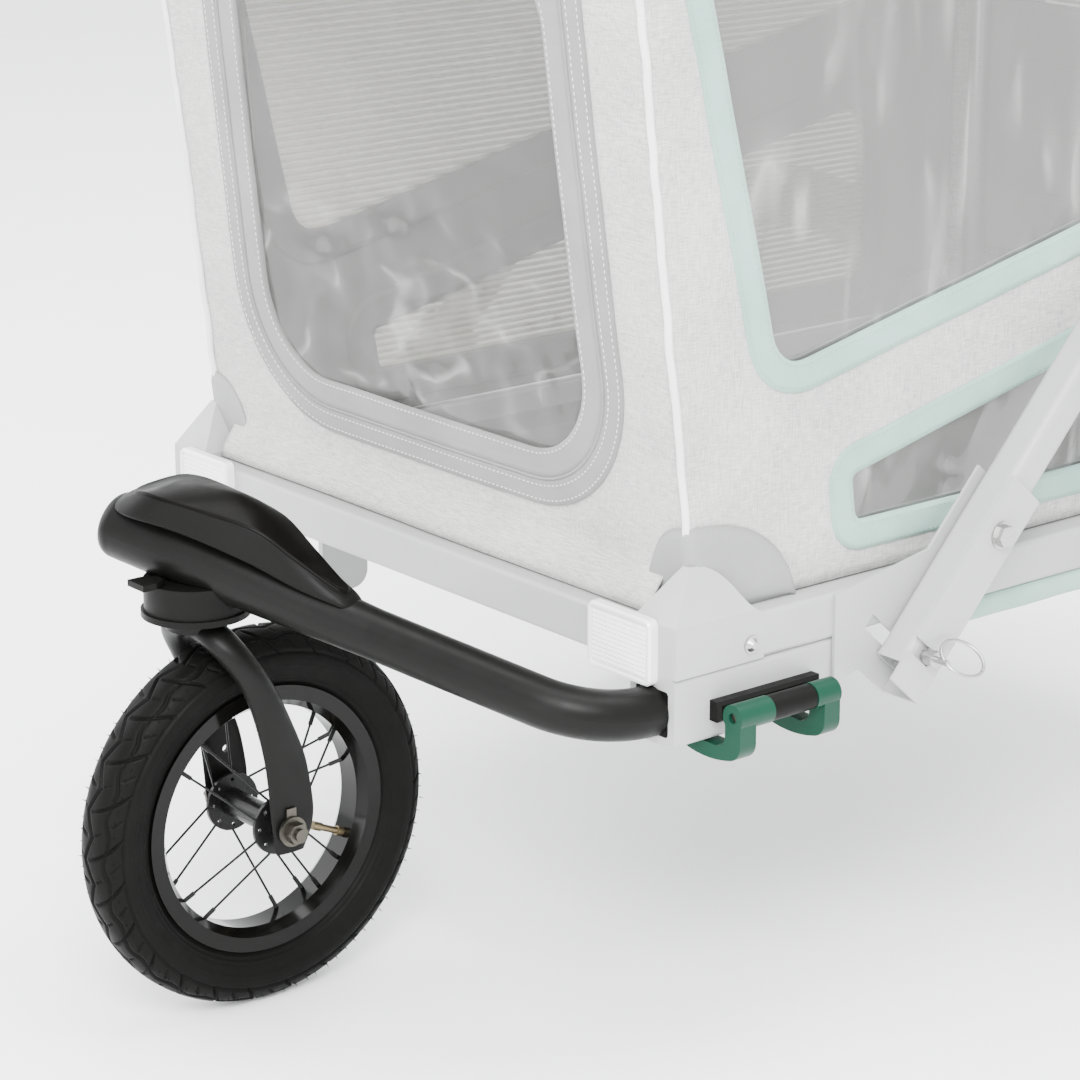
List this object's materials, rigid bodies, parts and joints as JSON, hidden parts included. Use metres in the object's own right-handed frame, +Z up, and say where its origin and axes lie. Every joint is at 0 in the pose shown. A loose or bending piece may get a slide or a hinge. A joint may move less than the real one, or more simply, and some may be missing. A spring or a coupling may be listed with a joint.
{
  "type": "child bicycle trailer",
  "caption": "Covered two-wheel child bicycle trailer with a swivelling stroller wheel on a plug-in arm, folding push bar and folding cabin hoops.",
  "frame": {"origin": "on the ground, at the middle of the whole object's footprint", "axes": "+X the trailer's left, -Y its front, +Z up"},
  "size_m": [0.892, 1.3101, 1.0011],
  "materials": {
    "frame_paint": "satin light grey paint",
    "frame_plastic": "fine-textured light grey plastic",
    "floor_board": "matt",
    "mat_fabric": "woven, padded",
    "mint_fabric": "woven webbing",
    "clear_reflector": "clear prismatic",
    "red_reflector": "clear prismatic",
    "zinc_steel": "dull zinc plate",
    "black_plastic": "fine matt grain",
    "gloss_cover": "satin gloss",
    "green_plastic": "satin",
    "body_fabric": "heather woven",
    "window_film": "clear pliable film",
    "seat_fabric": "woven",
    "black_paint": "satin powder coat",
    "rubber": "moulded rubber",
    "gloss_rim": "gloss black",
    "black_hub": "gloss black",
    "black_spokes": "black",
    "alloy_rim": "brushed",
    "alloy_hub": "satin",
    "steel_spokes": "bright",
    "brass": "dull",
    "alloy_tube": "satin anodised",
    "foam_grip": "closed-cell foam"
  },
  "bodies": {
    "frame": {"side_rails": "frame_paint", "end_beams": "frame_paint", "front_corners": "frame_plastic", "rear_corners": "frame_plastic", "arm_receiver": "frame_paint", "floor_board": "floor_board", "cross_tubes": "frame_paint", "floor_mat": "mat_fabric", "floor_skirts": "mint_fabric", "front_reflectors": "clear_reflector", "rear_reflectors": "red_reflector", "rest_foot": "frame_paint", "frame_bolts": "zinc_steel", "bar_brackets": "frame_paint", "bar_pivot_bolts": "zinc_steel", "clamp_plate": "black_plastic", "clamp_rod": "zinc_steel", "hoop_pins": "zinc_steel", "wheel_brackets": "frame_paint", "main_axles": "zinc_steel", "front_panel": "body_fabric", "rear_panel": "body_fabric", "side_panels": "body_fabric", "roof_panel": "body_fabric", "flag_socket": "frame_plastic"},
    "clamp": {"clamp_lever": "green_plastic"},
    "arm": {"arm_tube": "black_paint", "arm_plug": "black_plastic", "swivel_housing": "black_plastic", "head_cover": "black_plastic", "head_cover_top": "gloss_cover"},
    "lock": {"swivel_lock": "black_plastic"},
    "fork": {"fork": "black_paint", "stroller_axle": "zinc_steel", "axle_nuts": "zinc_steel", "axle_washers": "zinc_steel"},
    "stroller_wheel": {"stroller_tyre": "rubber", "stroller_rim": "gloss_rim", "stroller_hub": "black_hub", "stroller_spokes": "black_spokes", "stroller_valve": "brass"},
    "left_wheel": {"left_tyre": "rubber", "left_rim": "alloy_rim", "left_hub": "alloy_hub", "left_spokes": "steel_spokes"},
    "right_wheel": {"right_tyre": "rubber", "right_rim": "alloy_rim", "right_hub": "alloy_hub", "right_spokes": "steel_spokes"},
    "push_bar": {"push_bars": "frame_paint", "handle_hubs": "frame_plastic", "handle_bolts": "zinc_steel"},
    "left_pin": {"left_ring_pin": "zinc_steel"},
    "right_pin": {"right_ring_pin": "zinc_steel"},
    "handle": {"handle_bar": "alloy_tube", "handle_grip": "foam_grip"},
    "front_hoop": {"front_hoop": "alloy_tube"},
    "rear_hoop": {"rear_hoop": "alloy_tube", "seat_back": "seat_fabric"},
    "door": {"front_door": "window_film"}
  },
  "joints": [
    {"name": "arm_slide", "type": "slide", "parent": "frame", "child": "arm", "axis": [0, -1, 0], "range_m": [0, 0.12]},
    {"name": "clamp_lever", "type": "hinge", "parent": "frame", "child": "clamp", "pos_m": [0.354, -0.262, 0.291], "axis": [0, -1, 0], "range_deg": [0, 80]},
    {"name": "swivel_lock", "type": "slide", "parent": "arm", "child": "lock", "axis": [0, 0, 1], "range_m": [0, 0.004]},
    {"name": "fork_swivel", "type": "hinge", "parent": "arm", "child": "fork", "pos_m": [0, -0.55, 0.34], "axis": [0, 0, 1], "continuous": true},
    {"name": "stroller_wheel_spin", "type": "hinge", "parent": "fork", "child": "stroller_wheel", "pos_m": [0, -0.5, 0.155], "axis": [1, 0, 0], "continuous": true},
    {"name": "left_wheel_spin", "type": "hinge", "parent": "frame", "child": "left_wheel", "pos_m": [0.395, 0.401, 0.254], "axis": [1, 0, 0], "continuous": true},
    {"name": "right_wheel_spin", "type": "hinge", "parent": "frame", "child": "right_wheel", "pos_m": [-0.395, 0.401, 0.254], "axis": [1, 0, 0], "continuous": true},
    {"name": "push_bar_fold", "type": "hinge", "parent": "frame", "child": "push_bar", "pos_m": [0, -0.051, 0.387], "axis": [-1, 0, 0], "range_deg": [0, 42]},
    {"name": "left_pin_pull", "type": "slide", "parent": "push_bar", "child": "left_pin", "axis": [1, 0, 0], "range_m": [0, 0.045]},
    {"name": "right_pin_pull", "type": "slide", "parent": "push_bar", "child": "right_pin", "axis": [-1, 0, 0], "range_m": [0, 0.045]},
    {"name": "handle_tilt", "type": "hinge", "parent": "push_bar", "child": "handle", "pos_m": [0, 0.41316, 0.89755], "axis": [1, 0, 0], "range_deg": [-40, 60]},
    {"name": "frame_fold", "type": "hinge", "parent": "frame", "child": "front_hoop", "pos_m": [0, -0.295, 0.38], "axis": [-1, 0, 0], "range_deg": [0, 95]},
    {"name": "rear_hoop_fold", "type": "hinge", "parent": "frame", "child": "rear_hoop", "pos_m": [0, 0.555, 0.372], "axis": [1, 0, 0], "range_deg": [0, 70]},
    {"name": "door_swing", "type": "hinge", "parent": "front_hoop", "child": "door", "pos_m": [0, -0.37604, 0.872], "axis": [-1, 0, 0], "range_deg": [0, 100]}
  ],
  "couplings": [
    {"joint": "rear_hoop_fold", "follows": "frame_fold", "ratio": 0.73684}
  ]
}
